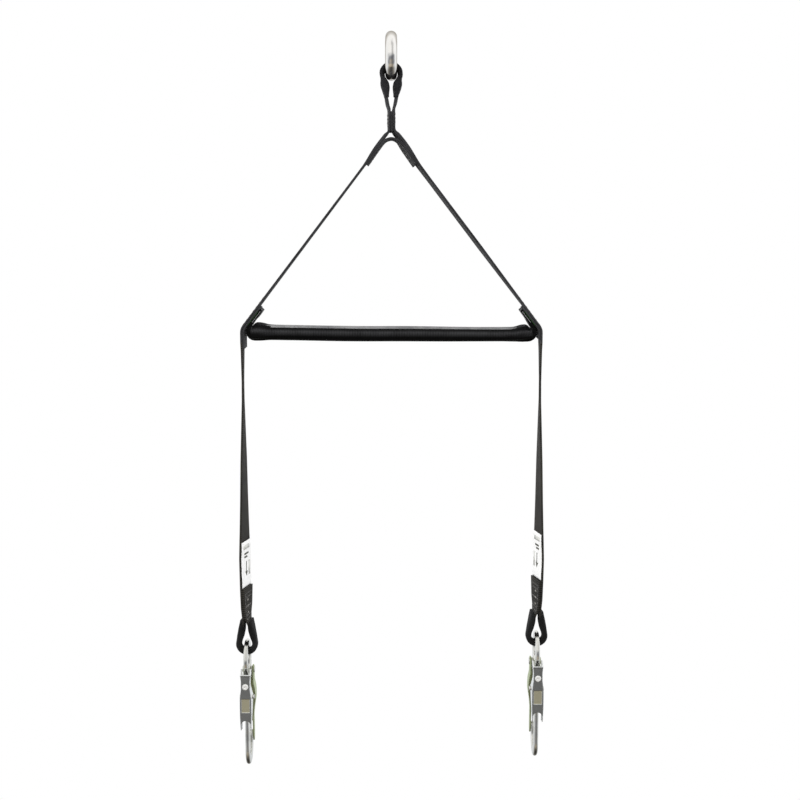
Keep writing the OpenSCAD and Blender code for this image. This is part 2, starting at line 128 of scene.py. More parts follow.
# heights above a hook's eye bar
LABEL_FOOT = 63.8 * MM
LABEL_H = 50.6 * MM
LABEL_W = 25 * MM
LABEL_T = 0.5 * MM
TAIL_TOP = 63 * MM
FOLD_X = PLY / 2 + SKIN
FOLD_MERGE = 31.5 * MM
STRAIGHT_TOP = LABEL_FOOT + LABEL_H + 2 * MM
EYE_WRAP_R = 7.4 * MM
RING_WRAP_R = RING_BAR / 2 + 2.67 * MM

# half the width between a sewn box's long rows, and how far thread stands off its strap
SEWN_HALF = 10.5 * MM
THREAD_LIFT = 0.12 * MM


def eye_z(side):
    name = "left_hook_swing" if side == LEFT else "right_hook_swing"
    return joint_at(name)[2]


# the recess in each lock lever's face, and how far its middle lies above the lever's foot
PANEL_W = 8.8 * MM
PANEL_H = 15.2 * MM
PANEL_RISE = 27.6 * MM


# ---------------------------------------------------------------- materials
def new_material(name):
    material = bpy.data.materials.new(name)
    material.use_nodes = True
    shader = material.node_tree.nodes["Principled BSDF"]
    return material, material.node_tree, shader


def math_node(tree, operation, a, b=None):
    node = tree.nodes.new("ShaderNodeMath")
    node.operation = operation
    for socket, value in zip(node.inputs, (a, b)):
        if value is None:
            continue
        if isinstance(value, (int, float)):
            socket.default_value = value
        else:
            tree.links.new(value, socket)
    return node.outputs[0]


def noise(tree, vector, scale, detail=3.0, rough=0.55):
    node = tree.nodes.new("ShaderNodeTexNoise")
    node.inputs["Scale"].default_value = scale
    node.inputs["Detail"].default_value = detail
    node.inputs["Roughness"].default_value = rough
    tree.links.new(vector, node.inputs["Vector"])
    return node.outputs["Fac"]


def ramp(tree, value, stops):
    node = tree.nodes.new("ShaderNodeValToRGB")
    elements = node.color_ramp.elements
    while len(elements) < len(stops):
        elements.new(0.5)
    for element, (place, colour) in zip(elements, stops):
        element.position = place
        element.color = (*colour, 1.0)
    tree.links.new(value, node.inputs["Fac"])
    return node.outputs["Color"]


def bump(tree, shader, height, distance, strength=1.0, normal=None):
    node = tree.nodes.new("ShaderNodeBump")
    node.inputs["Distance"].default_value = distance
    node.inputs["Strength"].default_value = strength
    tree.links.new(height, node.inputs["Height"])
    if normal is not None:
        tree.links.new(normal, node.inputs["Normal"])
    tree.links.new(node.outputs["Normal"], shader.inputs["Normal"])


def object_place(tree):
    return tree.nodes.new("ShaderNodeTexCoord").outputs["Object"]


def separated(tree, vector):
    """The x, y and z of a vector."""
    node = tree.nodes.new("ShaderNodeSeparateXYZ")
    tree.links.new(vector, node.inputs[0])
    return node.outputs[0], node.outputs[1], node.outputs[2]


def uv_axes(tree):
    across, along, _ = separated(tree, tree.nodes.new("ShaderNodeTexCoord").outputs["UV"])
    return across, along


def rounded_normal(tree, radius):
    """The normal of a surface whose edges look rounded at a radius."""
    node = tree.nodes.new("ShaderNodeBevel")
    node.samples = 8
    node.inputs["Radius"].default_value = radius
    return node.outputs["Normal"]


def grey(shade):
    return (shade, shade, shade)


def waves(tree, value, pitch):
    return math_node(tree, "SINE", math_node(tree, "MULTIPLY", value, 2 * math.pi / pitch))


def woven(name, dark, light, warp, weft, relief, sheen=0.1, rough=0.8, gloss=0.12, rib_mark=0.12):
    """Cloth with ribs across its length and cords along it. It reads the UV map, which is in metres."""
    material, tree, shader = new_material(name)
    across, along = uv_axes(tree)
    place = object_place(tree)
    ribs = waves(tree, along, weft)
    weave = math_node(tree, "MULTIPLY", waves(tree, across, warp), waves(tree, along, weft / 2))
    height = math_node(tree, "ADD", ribs, math_node(tree, "MULTIPLY", weave, 0.6))
    fuzz = noise(tree, place, 2600.0)
    height = math_node(tree, "ADD", height, math_node(tree, "MULTIPLY", fuzz, 0.8))
    wear = noise(tree, place, 38.0, detail=6.0)
    shade = math_node(tree, "ADD", math_node(tree, "MULTIPLY", ribs, rib_mark), wear)
    colour = ramp(tree, shade, [(0.30, dark), (0.72, light)])
    tree.links.new(colour, shader.inputs["Base Color"])
    shader.inputs["Roughness"].default_value = rough
    shader.inputs["Sheen Weight"].default_value = sheen
    shader.inputs["Sheen Roughness"].default_value = 0.45
    shader.inputs["Specular IOR Level"].default_value = gloss
    bump(tree, shader, height, relief)
    return material


def mixed(tree, factor, low, high):
    node = tree.nodes.new("ShaderNodeMix")
    node.data_type = "RGBA"
    for socket, value in zip((node.inputs[0], node.inputs[6], node.inputs[7]), (factor, low, high)):
        if isinstance(value, tuple):
            socket.default_value = (*value, 1.0)
        else:
            tree.links.new(value, socket)
    return node.outputs[2]


def painted_rim_reflection(tree, colour, rim_reflection_colour):
    """A painted reflection: turns to another colour where the surface bends out of sight."""
    facing = tree.nodes.new("ShaderNodeLayerWeight")
    facing.inputs["Blend"].default_value = 0.5
    away = ramp(tree, facing.outputs["Facing"], [(0.42, grey(0)), (0.75, grey(1))])
    return mixed(tree, away, colour, rim_reflection_colour)


def plated(name, dark, light, rough, grain, grain_depth, edge=0.5 * MM, wobble=0.0, rim_reflection_colour=None, metal=1.0):
    """Metal with rounded edges, a fine grain, uneven gloss and a surface that is not quite true.
    rough is the lowest and the highest roughness."""
    material, tree, shader = new_material(name)
    place = object_place(tree)
    cloud = noise(tree, place, 60.0, detail=5.0)
    colour = ramp(tree, cloud, [(0.35, dark), (0.65, light)])
    # the rim colour is a painted reflection where the surface turns away from view
    if rim_reflection_colour is not None:
        colour = painted_rim_reflection(tree, colour, rim_reflection_colour)
    tree.links.new(colour, shader.inputs["Base Color"])
    shader.inputs["Metallic"].default_value = metal
    fine = noise(tree, place, grain, detail=4.0)
    span = math_node(tree, "MULTIPLY", fine, rough[1] - rough[0])
    tree.links.new(math_node(tree, "ADD", span, rough[0]), shader.inputs["Roughness"])
    height = math_node(tree, "MULTIPLY", fine, grain_depth)
    slow = math_node(tree, "MULTIPLY", noise(tree, place, 90.0, detail=1.0), wobble)
    bump(tree, shader, math_node(tree, "ADD", height, slow), 1.0, normal=rounded_normal(tree, edge))
    return material


def matte(name, colour, rough, grain, depth):
    material, tree, shader = new_material(name)
    fine = noise(tree, object_place(tree), grain)
    shader.inputs["Base Color"].default_value = (*colour, 1.0)
    shader.inputs["Roughness"].default_value = rough
    bump(tree, shader, fine, depth)
    return material


# the straps' cords and ribs are coarser than the sleeves'
WEBBING = woven("webbing", (0.018, 0.018, 0.019), (0.046, 0.046, 0.049),
                warp=1.8 * MM, weft=1.5 * MM, relief=0.16 * MM)
WEBBING_LOW = woven("webbing_low", (0.005, 0.0048, 0.0045), (0.052, 0.048, 0.040),
                    warp=1.8 * MM, weft=2.1 * MM, relief=0.18 * MM, sheen=0.05, rib_mark=0.30)
SLEEVE = woven("sleeve", (0.008, 0.008, 0.009), (0.030, 0.030, 0.033),
               warp=1.5 * MM, weft=1.3 * MM, relief=0.14 * MM)
SLEEVE_LOW = woven("sleeve_low", grey(0.005), grey(0.018),
                   warp=1.5 * MM, weft=1.3 * MM, relief=0.14 * MM, sheen=0.05)
# pale cloth for the tabs' folded edges and for the painted highlight strip along the top of the bar cover
PALE_SEAM_AND_HIGHLIGHT = woven("cover_seam_and_highlight", (0.14, 0.14, 0.145), grey(0.30),
                   warp=1.2 * MM, weft=1.2 * MM, relief=0.14 * MM)

THREAD = matte("thread", (0.13, 0.125, 0.12), rough=0.55, grain=3000.0, depth=0.05 * MM)
PALE_THREAD = matte("pale_thread", (0.52, 0.50, 0.46), rough=0.6, grain=3000.0, depth=0.05 * MM)
GREEN_LINE = matte("green_thread", (0.02, 0.10, 0.012), rough=0.7, grain=2000.0, depth=0.05 * MM)
LABEL = matte("label", (0.97, 0.965, 0.95), rough=0.5, grain=900.0, depth=0.06 * MM)
PRINT = matte("print", (0.060, 0.062, 0.040), rough=0.6, grain=900.0, depth=0.02 * MM)
FAINT_PRINT = matte("faint_print", (0.66, 0.66, 0.62), rough=0.6, grain=900.0, depth=0.02 * MM)
PLUG = matte("plug", grey(0.10), rough=0.5, grain=900.0, depth=0.04 * MM)

# the ring's brown rim is a painted reflection at its edges
RING_STEEL = plated("ring_steel", (0.86, 0.84, 0.80), (0.95, 0.93, 0.90), (0.03, 0.10),
                    grain=300.0, grain_depth=0.005 * MM, wobble=1.6 * MM, rim_reflection_colour=(0.22, 0.18, 0.12))
HOOK_ZINC = plated("hook_zinc", (0.62, 0.62, 0.58), (0.80, 0.79, 0.74), (0.12, 0.28),
                   grain=900.0, grain_depth=0.02 * MM, edge=1.3 * MM, wobble=0.5 * MM)
# the gate's olive colour is a painted reflection, given as the metal's own colour
GATE_OLIVE_REFLECTION = plated("gate_olive", (0.44, 0.50, 0.29), (0.52, 0.58, 0.36), (0.38, 0.50),
                    grain=900.0, grain_depth=0.006 * MM)
PIN_STEEL = plated("pin_steel", (0.80, 0.79, 0.75), (0.90, 0.88, 0.83), (0.12, 0.24),
                   grain=900.0, grain_depth=0.02 * MM, edge=0.4 * MM)
RIVET_HEAD = plated("rivet_head", (0.90, 0.90, 0.86), (0.96, 0.95, 0.92), (0.22, 0.32),
                    grain=900.0, grain_depth=0.01 * MM, metal=0.45)
TUBE_METAL = plated("tube_metal", (0.70, 0.71, 0.72), (0.80, 0.80, 0.81), (0.20, 0.34),
                    grain=700.0, grain_depth=0.02 * MM)


def cover_cloth():
    """Near-black cloth with ribs round the bar, painted lighter on its top and in a faint band along its
    front as a painted highlight.
    """
    material, tree, shader = new_material("cover")
    across, along = uv_axes(tree)
    place = object_place(tree)
    turn = math_node(tree, "DIVIDE", across, 2 * math.pi * COVER_R)
    # painted highlight: how light the cloth is painted at each share of a turn round the bar, lighter on
    # its top and in a band along its front
    shades = (
        (0.20, 0.030),
        (0.29, 0.050),
        (0.35, 0.006),
        (0.41, 0.004),
        (0.46, 0.034),
        (0.50, 0.022),
        (0.56, 0.002),
        (0.90, 0.001),
    )
    painted_sheen = ramp(tree, turn, [(share, (shade, shade, shade * 1.05)) for share, shade in shades])
    ribs = math_node(tree, "MULTIPLY", waves(tree, along, COVER_RIB), 0.30)
    patches = math_node(tree, "MULTIPLY", noise(tree, place, 70.0, detail=6.0), 1.5)
    shown = math_node(tree, "ADD", ribs, patches)
    colour = mixed(tree, shown, grey(0.0005), painted_sheen)
    tree.links.new(colour, shader.inputs["Base Color"])
    shader.inputs["Roughness"].default_value = 0.55
    shader.inputs["Specular IOR Level"].default_value = 0.10
    shader.inputs["Sheen Weight"].default_value = 0.05
    shader.inputs["Sheen Roughness"].default_value = 0.3
    fuzz = noise(tree, place, 1400.0)
    bump(tree, shader, math_node(tree, "ADD", waves(tree, along, COVER_RIB), fuzz), 0.14 * MM)
    return material


def lever_zinc(name):
    """Plate coloured by which way it faces: bright on its edges and sides as a painted highlight, darker on
    the face turned to the front, and a beige panel in the face's shallow recess.
    """
    low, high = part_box(f"lock_lever_{name}")
    middle_x = (low.x + high.x) / 2
    panel_z = low.z + PANEL_RISE
    edge_highlight = (0.80, 0.81, 0.80)
    front_face_dark = (0.20, 0.205, 0.20)
    beige = (0.56, 0.53, 0.38)
    material, tree, shader = new_material(f"lever_zinc_{name}")
    place = object_place(tree)
    place_x, _, place_z = separated(tree, place)
    normal = rounded_normal(tree, 1.2 * MM)
    _, normal_y, _ = separated(tree, normal)
    # the face turned to the front takes the dark colour; the rounded edges and sides that turn away take
    # the bright one, a painted highlight
    to_front = math_node(tree, "MULTIPLY", normal_y, -1.0)
    face = ramp(tree, to_front, [(0.80, grey(0)), (0.93, grey(1))])
    across = math_node(tree, "ABSOLUTE", math_node(tree, "SUBTRACT", place_x, middle_x))
    along = math_node(tree, "ABSOLUTE", math_node(tree, "SUBTRACT", place_z, panel_z))
    in_width = math_node(tree, "LESS_THAN", across, PANEL_W / 2)
    in_height = math_node(tree, "LESS_THAN", along, PANEL_H / 2)
    in_panel = math_node(tree, "MULTIPLY", in_width, in_height)
    grain = noise(tree, place, 1800.0, detail=4.0)
    cloud = noise(tree, place, 90.0, detail=4.0)
    front_face_mottle = mixed(tree, cloud, front_face_dark, tuple(1.5 * part for part in front_face_dark))
    colour = mixed(tree, face, edge_highlight, front_face_mottle)
    colour = mixed(tree, math_node(tree, "MULTIPLY", in_panel, face), colour, beige)
    tree.links.new(colour, shader.inputs["Base Color"])
    shader.inputs["Metallic"].default_value = 0.85
    rough = math_node(tree, "ADD", math_node(tree, "MULTIPLY", face, 0.26), 0.20)
    tree.links.new(rough, shader.inputs["Roughness"])
    bump(tree, shader, math_node(tree, "MULTIPLY", grain, 0.03 * MM), 1.0, normal=normal)
    return material


# ---------------------------------------------------------------- meshes
def add_piece(name, verts, faces, material, uvs=None):
    mesh = bpy.data.meshes.new(name)
    mesh.from_pydata([tuple(v) for v in verts], [], faces)
    mesh.materials.append(material)
    if uvs is not None:
        layer = mesh.uv_layers.new(name="UVMap")
        corner = np.array([l.vertex_index for l in mesh.loops])
        layer.data.foreach_set("uv", np.asarray(uvs, np.float32)[corner].ravel())
    mesh.shade_smooth()
    mesh.update()
    piece = bpy.data.objects.new(name, mesh)
    bpy.context.scene.collection.objects.link(piece)
    return piece


def tube_faces(rows, count):
    """Faces of a closed tube: rows of count points each, with a flat cap at either end."""
    ring = np.arange(count)
    faces = [
        (i * count + j, i * count + k, (i + 1) * count + k, (i + 1) * count + j)
        for i in range(rows - 1)
        for j, k in zip(ring, np.roll(ring, -1))
    ]
    faces.append(tuple(ring[::-1]))
    faces.append(tuple((rows - 1) * count + ring))
    return faces


def resample(points, step):
    """Points along a path at even distances of about one step."""
    points = np.asarray(points, float)
    reach = np.r_[0, np.cumsum(np.linalg.norm(np.diff(points, axis=0), axis=1))]
    count = max(int(round(reach[-1] / step)), 2)
    even = np.linspace(0, reach[-1], count + 1)
    return np.stack([np.interp(even, reach, points[:, k]) for k in range(2)], axis=1)


def arc(radius, start, end, steps):
    angles = np.radians(np.linspace(start, end, steps + 1))
    return radius * np.stack([np.cos(angles), np.sin(angles)], axis=1)


def rounded(corners, radii):
    """A path through corners, each inner corner turned at its own radius."""
    corners = [np.asarray(c, float) for c in corners]
    path = [corners[0]]
    for before, corner, after, radius in zip(corners, corners[1:], corners[2:], radii):
        into = (before - corner) / np.linalg.norm(before - corner)
        out = (after - corner) / np.linalg.norm(after - corner)
        half = math.acos(np.clip(into @ out, -1, 1)) / 2
        reach = radius / math.tan(half)
        a, b = corner + into * reach, corner + out * reach
        for share in np.linspace(0, 1, 17):
            path.append((1 - share) ** 2 * a + 2 * share * (1 - share) * corner + share**2 * b)
    path.append(corners[-1])
    return np.array(path)


class Strip:
    """Places along a path in the XZ plane: centre, tangent, across and outward directions, distance."""

    def __init__(self, path, outward, yaw=None, step=STRAP_STEP):
        flat = resample(path, step)
        self.c = np.stack([flat[:, 0], np.zeros(len(flat)), flat[:, 1]], axis=1)
        t = np.gradient(self.c, axis=0)
        self.t = t / np.linalg.norm(t, axis=1)[:, None]
        turn = np.radians(np.zeros(len(flat)) if yaw is None else yaw(self.c))
        a = np.stack([np.sin(turn), np.cos(turn), np.zeros(len(flat))], axis=1)
        a -= np.sum(a * self.t, axis=1)[:, None] * self.t
        self.a = a / np.linalg.norm(a, axis=1)[:, None]
        self.n = np.cross(self.a, self.t) * outward
        self.s = np.r_[0, np.cumsum(np.linalg.norm(np.diff(self.c, axis=0), axis=1))]

    def part(self, keep, shift=0.0):
        """The places that keep picks, moved sideways along the outward direction."""
        piece = object.__new__(Strip)
        piece.c = self.c[keep] + self.n[keep] * shift
        piece.t, piece.a, piece.n = self.t[keep], self.a[keep], self.n[keep]
        piece.s = self.s[keep] - self.s[keep][0]
        return piece

    def point(self, s, u, lift):
        """A point at distance s, moved u across the strip and lifted along its outward direction."""
        at = lambda rows: np.array([np.interp(s, self.s, rows[:, k]) for k in range(3)])
        return at(self.c) + at(self.a) * u + at(self.n) * lift


def band_outline(count=15):
    flat = np.linspace(-0.93, 0.93, count)
    edge = [(0.972, 0.86), (0.995, 0.45), (0.995, -0.45), (0.972, -0.86)]
    top = [(u, 1.0) for u in flat]
    under = [(u, -1.0) for u in flat[::-1]]
    return np.array(top + edge + under + [(-u, -b) for u, b in edge])


def tube_outline(count=28, power=2.5):
    angles = np.linspace(0, 2 * math.pi, count, endpoint=False)
    shape = lambda v: np.sign(v) * np.abs(v) ** (2 / power)
    return np.stack([shape(np.cos(angles)), shape(np.sin(angles))], axis=1)


BAND = band_outline()
TUBE = tube_outline()


def sweep(name, strip, outline, width, thick, material, cup=0.0, folds=0.0, fold_count=3.0):
    """A closed solid: the outline carried along the strip. Width, thickness, cup and folds may vary."""
    n = len(strip.c)
    sizes = (width, thick, cup, folds)
    width, thick, cup, folds = (np.broadcast_to(np.asarray(v, float), n) for v in sizes)
    u, b = outline[:, 0], outline[:, 1]
    across = u[None] * width[:, None] / 2
    crease = np.sin(u[None] * math.pi * fold_count + strip.s[:, None] * 60) * folds[:, None]
    lift = b[None] * thick[:, None] / 2 + cup[:, None] * u[None] ** 2 + crease
    verts = strip.c[:, None] + strip.a[:, None] * across[..., None] + strip.n[:, None] * lift[..., None]
    uvs = np.stack([across + lift * 0.5, np.broadcast_to(strip.s[:, None], across.shape)], axis=2)
    faces = tube_faces(n, len(outline))
    return add_piece(name, verts.reshape(-1, 3), faces, material, uvs.reshape(-1, 2))


def stitch_run(name, stitches, material):
    """Thread: each stitch is a short capsule that goes from one point to another and sinks at both ends."""
    radius = 0.36 * MM
    sides = 6
    verts, faces = [], []
    for start, end, normal in stitches:
        along = end - start
        length = np.linalg.norm(along)
        along = along / length
        beside = np.cross(normal, along)
        for share, thin, sink in ((0, 0.45, 0.9), (0.2, 1, 0), (0.8, 1, 0), (1, 0.45, 0.9)):
            middle = start + along * length * share - normal * radius * sink
            for k in range(sides):
                angle = 2 * math.pi * k / sides
                offset = beside * math.cos(angle) + normal * math.sin(angle)
                verts.append(middle + offset * radius * thin)
        base = len(verts) - 4 * sides
        for row in range(3):
            for k in range(sides):
                a, b = base + row * sides + k, base + row * sides + (k + 1) % sides
                faces.append((a, b, b + sides, a + sides))
        faces.append(tuple(base + k for k in reversed(range(sides))))
        faces.append(tuple(base + 3 * sides + k for k in range(sides)))
    return add_piece(name, verts, faces, material)


def stitches_along(strip, s0, s1, u, face, half_t, length=2.6 * MM, gap=1.5 * MM):
    """Stitches in line with the strip at a place across it, on its outer (1) or inner (-1) face."""
    lift = face * (half_t + THREAD_LIFT)
    found = []
    s = s0
    while s + length <= s1:
        a, b = strip.point(s, u, lift), strip.point(s + length, u, lift)
        normal = strip.point(s, u, lift + face * MM) - a
        found.append((a, b, normal / np.linalg.norm(normal)))
        s += length + gap
    return found


def stitches_across(strip, s, u0, u1, face, half_t, slant=0.0, length=2.4 * MM, gap=0.9 * MM):
    """Stitches across the strip at distance s; with a slant they form a zigzag."""
    lift = face * (half_t + THREAD_LIFT)
    found = []
    u = u0
    flip = 1.0
    while u + length <= u1:
        a = strip.point(s - slant * flip, u, lift)
        b = strip.point(s + slant * flip, u + length, lift)
        normal = strip.point(s, u, lift + face * MM) - a
        found.append((a, b, normal / np.linalg.norm(normal)))
        u += length + gap
        flip = -flip
    return found


def stitched_box(strip, s0, s1, half_w, face, half_t):
    """A sewn rectangle with a row across its middle."""
    found = []
    for u in (-half_w, half_w):
        found += stitches_along(strip, s0, s1, u, face, half_t)
    for s in (s0, (s0 + s1) / 2, s1):
        found += stitches_across(strip, s, -half_w, half_w, face, half_t)
    return found


def smooth_step(value, low, high):
    share = np.clip((value - low) / (high - low), 0, 1)
    return share * share * (3 - 2 * share)


def wrap_path(pivot, radius, end_x, rise, reach, sign):
    """Up one arm, round a bar and back: the tangent lines and the arc between them.
    reach is the share of each tangent line that is kept. sign is 1 when the strap hangs below its bar
    and -1 when it stands above it."""
    lean = math.asin(radius / math.hypot(end_x, rise)) - math.atan2(end_x, rise)
    run = math.sqrt(end_x**2 + rise**2 - radius**2) * reach
    turn = arc(radius, 180 + math.degrees(lean), -math.degrees(lean), 40)
    down = np.array([math.sin(lean), -math.cos(lean)])
    first = turn[0] + run * down
    last = turn[-1] + run * down * np.array([-1, 1])
    path = np.vstack([first, turn, last])
    path[:, 1] *= sign
    return path + np.array([pivot[0], pivot[2]])


# ---------------------------------------------------------------- top loop
def over_ring(strip, depth):
    """How deep the section is cupped: it follows the ring where it lies on it."""
    side = np.abs(strip.c[:, 0] - RING_PIVOT[0])
    beyond = np.abs(strip.c[:, 2] - RING_PIVOT[2])
    bar_half = RING_BAR / 2 - 1.5 * MM
    near = 1 - smooth_step(side, bar_half, bar_half + 4.5 * MM)
    return depth * near * (1 - smooth_step(beyond, 9 * MM, 15 * MM))


def neck_yaw(points):
    """The neck is turned a little, so that its left face shows."""
    return NECK_TURN * smooth_step(-points[:, 2], 24 * MM, 48 * MM)


def build_loop_strap():
    loop = wrap_path(RING_PIVOT, RING_WRAP_R, NECK_X, LOOP_RISE, 1.0, 1)
    path = np.vstack([[-NECK_X, LOOP_SEAM_Z], loop, [NECK_X, LOOP_SEAM_Z]])
    strip = Strip(path, outward=-1, yaw=neck_yaw)
    depth = RING_PIVOT[2] - strip.c[:, 2]
    gather = 1 - smooth_step(depth, 22 * MM, 37 * MM)
    width = WEB_W + (GATHERED_W - WEB_W) * gather
    curl = smooth_step(depth, 8 * MM, 18 * MM) * (1 - smooth_step(depth, 28 * MM, 37 * MM))
    beside_ring = 1.7 * MM * (1 - smooth_step(depth, 3 * MM, 9 * MM))
    cup = np.maximum(over_ring(strip, 2.6 * MM), beside_ring) + 1.3 * MM * curl
    folds = 0.2 * MM * gather
    strap = sweep("loop_strap", strip, BAND, width, PLY, WEBBING, cup=cup, folds=folds)
    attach(strap, "top_loop")
    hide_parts("top_loop_webbing")


def build_loop_sleeve_top():
    """The sleeve that guards the top loop. It swells below the ring, and its sides lie clear of the ring
    when the loop swings."""
    path = wrap_path(RING_PIVOT, RING_WRAP_R, NECK_X, LOOP_RISE, 0.64, 1)
    strip = Strip(path, outward=-1, yaw=neck_yaw)
    depth = RING_PIVOT[2] - strip.c[:, 2]
    swell = smooth_step(depth, 2 * MM, 9.5 * MM) * (1 - smooth_step(depth, 12 * MM, 24 * MM))
    strip.c -= strip.n * (0.6 * MM * swell)[:, None]
    thick = 4.7 * MM + 4.3 * MM * swell
    wide = 18.5 * MM + 1.0 * MM * smooth_step(depth, 0, 20 * MM)
    beside_ring = 2.6 * MM * (1 - smooth_step(depth, -4.5 * MM, 12 * MM))
    cup = np.maximum(over_ring(strip, 2.8 * MM), beside_ring)
    cup = cup + 0.7 * MM * smooth_step(depth, 8 * MM, 18 * MM)
    sleeve = sweep("loop_sleeve_top", strip, TUBE, wide, thick, SLEEVE,
                   cup=cup, folds=0.12 * MM, fold_count=4.0)
    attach(sleeve, "top_loop")
    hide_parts("top_loop_sleeve")


def build_neck_core():
    path = [(0, LOOP_MERGE_Z - 3 * MM), (0, CROTCH[2] - 1 * MM)]
    strip = Strip(path, outward=1, yaw=neck_yaw)
    core = sweep("neck_core", strip, BAND, WEB_W - 1 * MM, CORE_T, WEBBING)
    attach(core, "top_loop")
    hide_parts("neck_core_ply")


def build_neck_thread():
    """A sewn box with four zigzag rows on either face of the neck."""
    margin = 2.5 * MM
    row_margin = 4 * MM
    stitches = []
    for side in (LEFT, RIGHT):
        path = [(side * NECK_X, LOOP_MERGE_Z - 2 * MM), (side * NECK_X, NECK_FOOT_Z)]
        neck = Strip(path, outward=1, yaw=neck_yaw)
        end = neck.s[-1]
        stitches += stitched_box(neck, margin, end - margin, SEWN_HALF, -side, PLY / 2)
        for s in np.linspace(row_margin, end - row_margin, 4):
            stitches += stitches_across(neck, s, -10 * MM, 10 * MM, -side, PLY / 2,
                                        slant=0.8 * MM, gap=0.2 * MM)
    thread = stitch_run("neck_thread", stitches, THREAD)
    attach(thread, "top_loop")
    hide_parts("neck_stitching")


def build_top_loop():
    build_loop_strap()
    build_loop_sleeve_top()
    build_neck_core()
    build_neck_thread()


# ---------------------------------------------------------------- upper legs
def upper_yaw(side):
    """How an upper leg turns on its way down: the right one shows its inner face, the left is edge-on."""
    turns = {
        LEFT: [NECK_TURN, NECK_TURN, -1.0, -1.5, -0.5, 0.5, 0.0],
        RIGHT: [NECK_TURN, NECK_TURN, -9.0, -6.0, -6.0, -1.5, 0.0],
    }
    places = [LOOP_SEAM_Z, CROTCH[2] + 6 * MM, CROTCH[2] - 12 * MM, CROTCH[2] - 50 * MM,
              CROTCH[2] - 120 * MM, BAR_Z + 30 * MM, BAR_Z]

    def yaw(points):
        return np.interp(-points[:, 2], -np.array(places), turns[side])

    return yaw


def belly(strip):
    """Where the sewn layers below the crotch bulge outwards, as a share of one."""
    depth = CROTCH[2] - strip.c[:, 2]
    return smooth_step(depth, -2 * MM, 6 * MM) * (1 - smooth_step(depth, 16 * MM, 38 * MM))


def upper_leg_path(side):
    entry_z = LEG_START[1] - (NECK_X - LEG_START[0]) / math.tan(LEG_LEAN)
    corners = [(NECK_X, LOOP_SEAM_Z), (NECK_X, entry_z), (LEG_X, BEND_CORNER_Z), (LEG_X, STRAP_SEAM_Z)]
    return rounded(corners, [9 * MM, 12 * MM]) * np.array([side, 1])


def build_upper_leg(name, side):
    strip = Strip(upper_leg_path(side), outward=-side, yaw=upper_yaw(side))
    bulge = belly(strip)
    strip.c += strip.n * (1.35 * MM * bulge)[:, None]
    strap = sweep(f"upper_strap_{name}", strip, BAND, WEB_W, PLY * (1 + 0.6 * bulge), WEBBING)
    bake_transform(strap)
    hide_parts(f"upper_leg_{name}")
    return strip


def blend_at_bar(piece):
    """Bakes the piece's placing into its mesh."""
    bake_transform(piece)


def build_doubler(name, side):
    """The inner layer that lines the bend at the bar's end."""
    top = BEND_START - 26 * MM * LEG_DOWN
    foot_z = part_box(f"leg_doubler_{name}")[0].z
    path = rounded([top, (LEG_X, BEND_CORNER_Z), (LEG_X, foot_z)], [12 * MM]) * np.array([side, 1])
    strip = Strip(path, outward=-side)
    inner = strip.part(slice(None), -(PLY + SKIN))
    ply = sweep(f"leg_doubler_{name}", inner, BAND, WEB_W, PLY, WEBBING)
    blend_at_bar(ply)
    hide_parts(f"leg_doubler_{name}")


def build_crotch_strap():
    gap = PLY + SKIN * 2
    line = LEG_START - LEG_OUT * gap
    apex_z = line[1] + line[0] / math.tan(LEG_LEAN)
    foot = np.array([0, apex_z]) + LEG_DOWN * 41 * MM
    path = rounded([(-foot[0], foot[1]), (0, apex_z), foot], [11 * MM])

    def yaw(points):
        return -11.0 * smooth_step(points[:, 0], 0, 14 * MM)

    strip = Strip(path, outward=-1, yaw=yaw)
    arms = smooth_step(np.abs(strip.c[:, 0]), 1 * MM, 6 * MM)
    strip.c[:, 0] += 1.0 * MM * np.sign(strip.c[:, 0]) * belly(strip) * arms
    strap = sweep("crotch_strap_sewn", strip, BAND, WEB_W, PLY * 1.2, WEBBING)
    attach(strap, "yoke")
    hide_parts("crotch_strap")
    build_crotch_thread(strip)


def build_crotch_thread(strip):
    """Two sewn boxes on the strap's arms, and four pale marks near the end of its right arm."""
    length = strip.s[-1]
    first, middle, last = 4 * MM, 15 * MM, 27 * MM
    stitches = []
    for u in (-SEWN_HALF, SEWN_HALF):
        stitches += stitches_along(strip, first, last, u, -1, PLY / 2)
        stitches += stitches_along(strip, length - last, length - first, u, -1, PLY / 2)
    for s in (first, middle, last, length - last, length - middle, length - first):
        stitches += stitches_across(strip, s, -10 * MM, 10 * MM, -1, PLY / 2)
    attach(stitch_run("crotch_thread", stitches, THREAD), "yoke")
    marks = []
    for from_end in (24 * MM, 19 * MM, 14 * MM, 9 * MM):
        marks += stitches_across(strip, length - from_end, 4 * MM, 9 * MM, -1, PLY / 2 + 0.1 * MM)
    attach(stitch_run("crotch_marks", marks, PALE_THREAD), "yoke")


def build_bend_thread(strips):
    """The sewing that holds each tab of the cover to its upper leg."""
    stitches = []
    for strip in strips:
        z = strip.c[:, 2]
        s0 = np.interp(-(BAR_Z + 38 * MM), -z, strip.s)
        s1 = np.interp(-(BAR_Z + 9 * MM), -z, strip.s)
        for u in (-11 * MM, 11 * MM):
            stitches += stitches_along(strip, s0, s1, u, 1, PLY / 2, length=2.2 * MM, gap=3.4 * MM)
        for s in (s0, (s0 + s1) / 2, s1):
            stitches += stitches_across(strip, s, -SEWN_HALF, SEWN_HALF, 1, PLY / 2)
    thread = stitch_run("bend_thread", stitches, PALE_THREAD)
    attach(thread, "yoke")
    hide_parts("bar_end_stitching")


# ---------------------------------------------------------------- bar cover
# each tab lies this far inside the middle of its upper leg
TAB_IN = PLY * 1.5 + SKIN * 2


